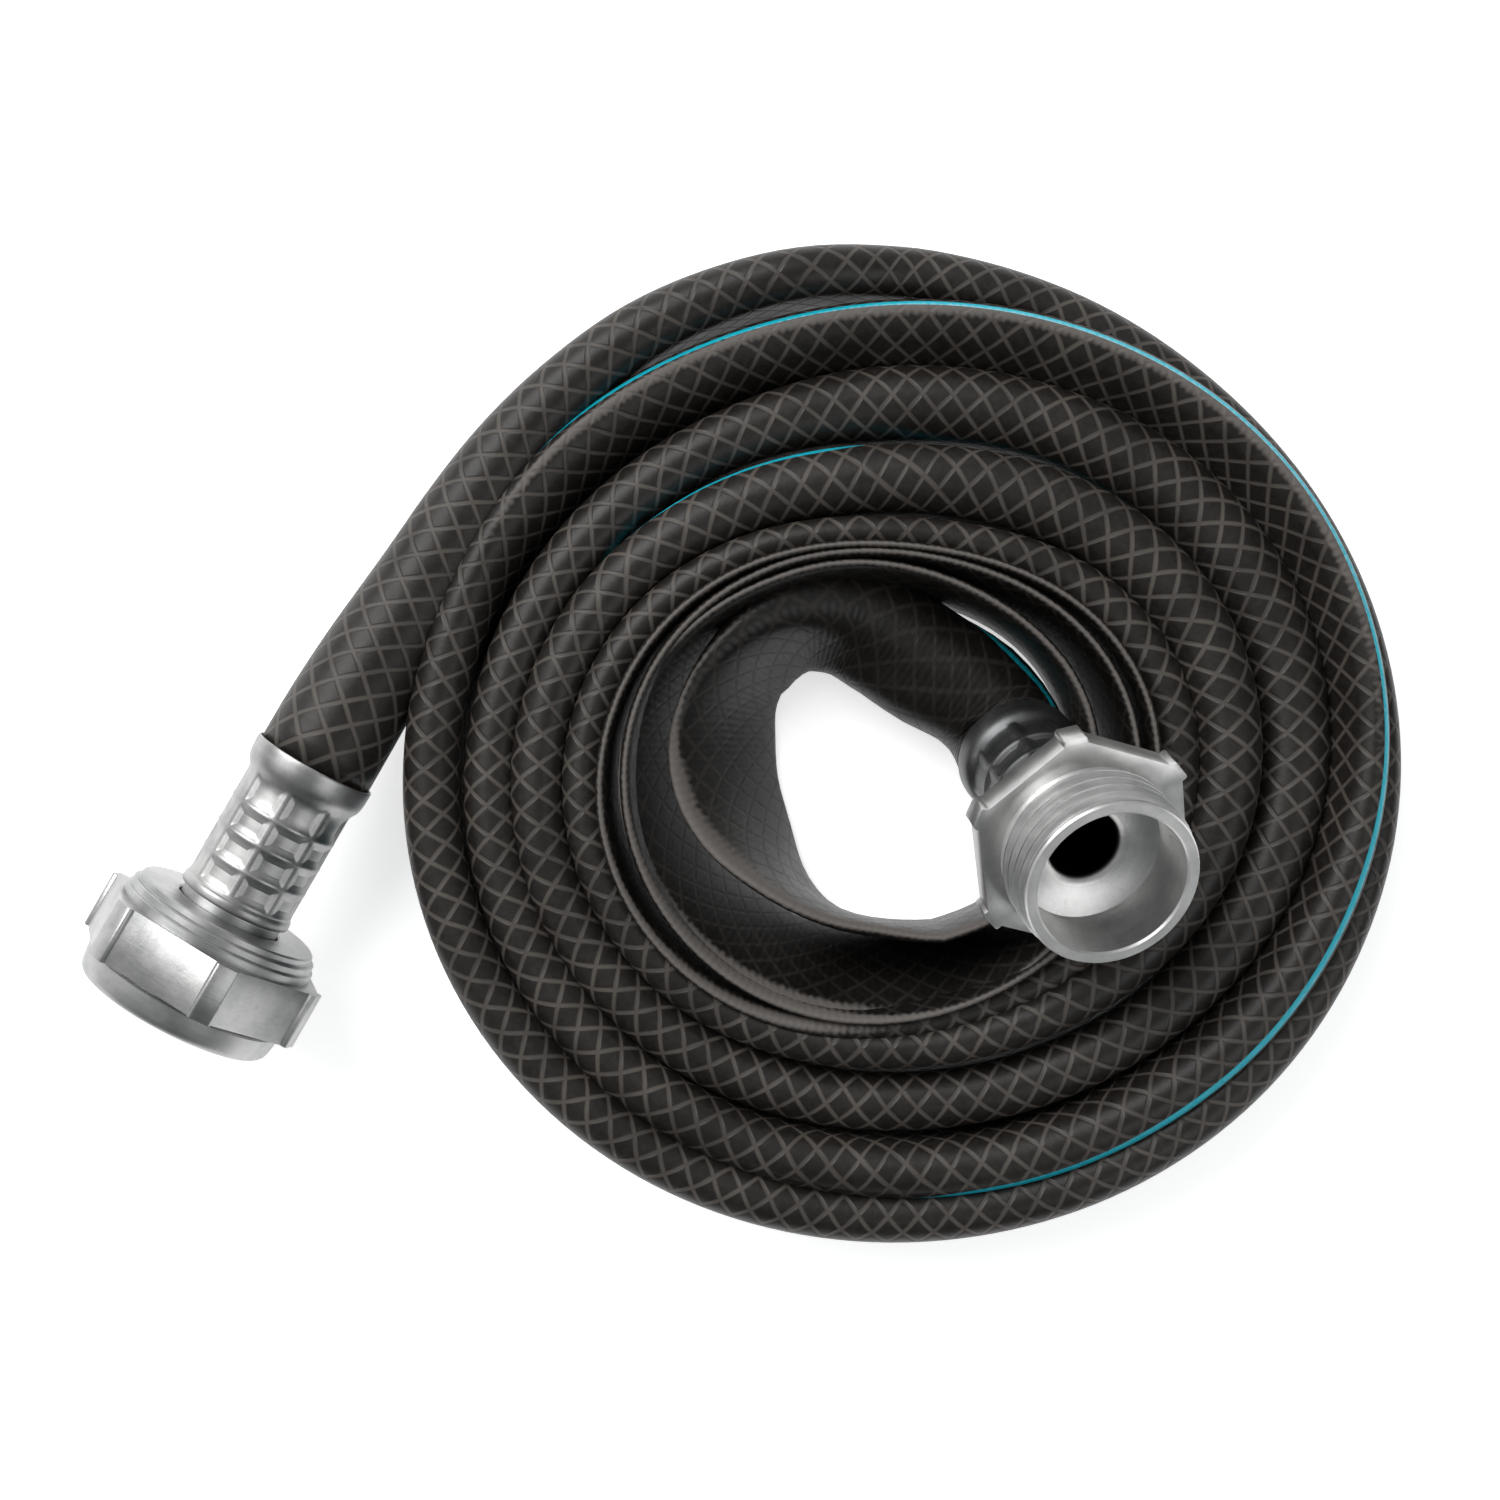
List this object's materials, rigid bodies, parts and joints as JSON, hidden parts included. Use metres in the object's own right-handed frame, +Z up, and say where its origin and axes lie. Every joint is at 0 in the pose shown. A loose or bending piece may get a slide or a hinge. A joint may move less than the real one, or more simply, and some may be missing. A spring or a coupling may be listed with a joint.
{
  "type": "coiled rinse hose with threaded couplings",
  "caption": "Coiled flat-laying braid-reinforced black rinse hose with a cyan stripe, an aluminium swivel nut coupling on one end and a male threaded coupling on the other.",
  "frame": {"origin": "on the surface that the object lies on, under the middle of the whole object's bounding box", "axes": "+Z up from the surface; +X from the inlet coupling towards the coil; the coil lies flat in XY"},
  "size_m": [0.2075, 0.1564, 0.0562],
  "materials": {
    "hose_cover": "semi-gloss black cover with taupe braid showing through and a cyan stripe",
    "hose_braid": "taupe polyester yarn",
    "hose_liner": "smooth black",
    "ferrule_aluminium": "satin, pressed",
    "turned_aluminium": "satin, turned",
    "seal_rubber": "matt"
  },
  "bodies": {
    "hose_set": {"hose_coil": "hose_cover", "hose_outer_lead": "hose_cover", "hose_inner_lead": "hose_cover", "inlet_end_liner": "hose_liner", "inlet_end_braid": "hose_braid", "inlet_end_cover": "hose_cover", "outlet_end_liner": "hose_liner", "outlet_end_braid": "hose_braid", "outlet_end_cover": "hose_cover", "inlet_ferrule": "ferrule_aluminium", "inlet_tailpiece": "turned_aluminium", "outlet_ferrule": "ferrule_aluminium", "outlet_coupling": "turned_aluminium"},
    "nut": {"swivel_nut": "turned_aluminium", "seal_washer": "seal_rubber"}
  },
  "joints": [
    {"name": "nut_spin", "type": "hinge", "parent": "hose_set", "child": "nut", "pos_m": [-0.0848, -0.03214, 0.0193], "axis": [-0.5, -0.866, 0], "continuous": true}
  ]
}
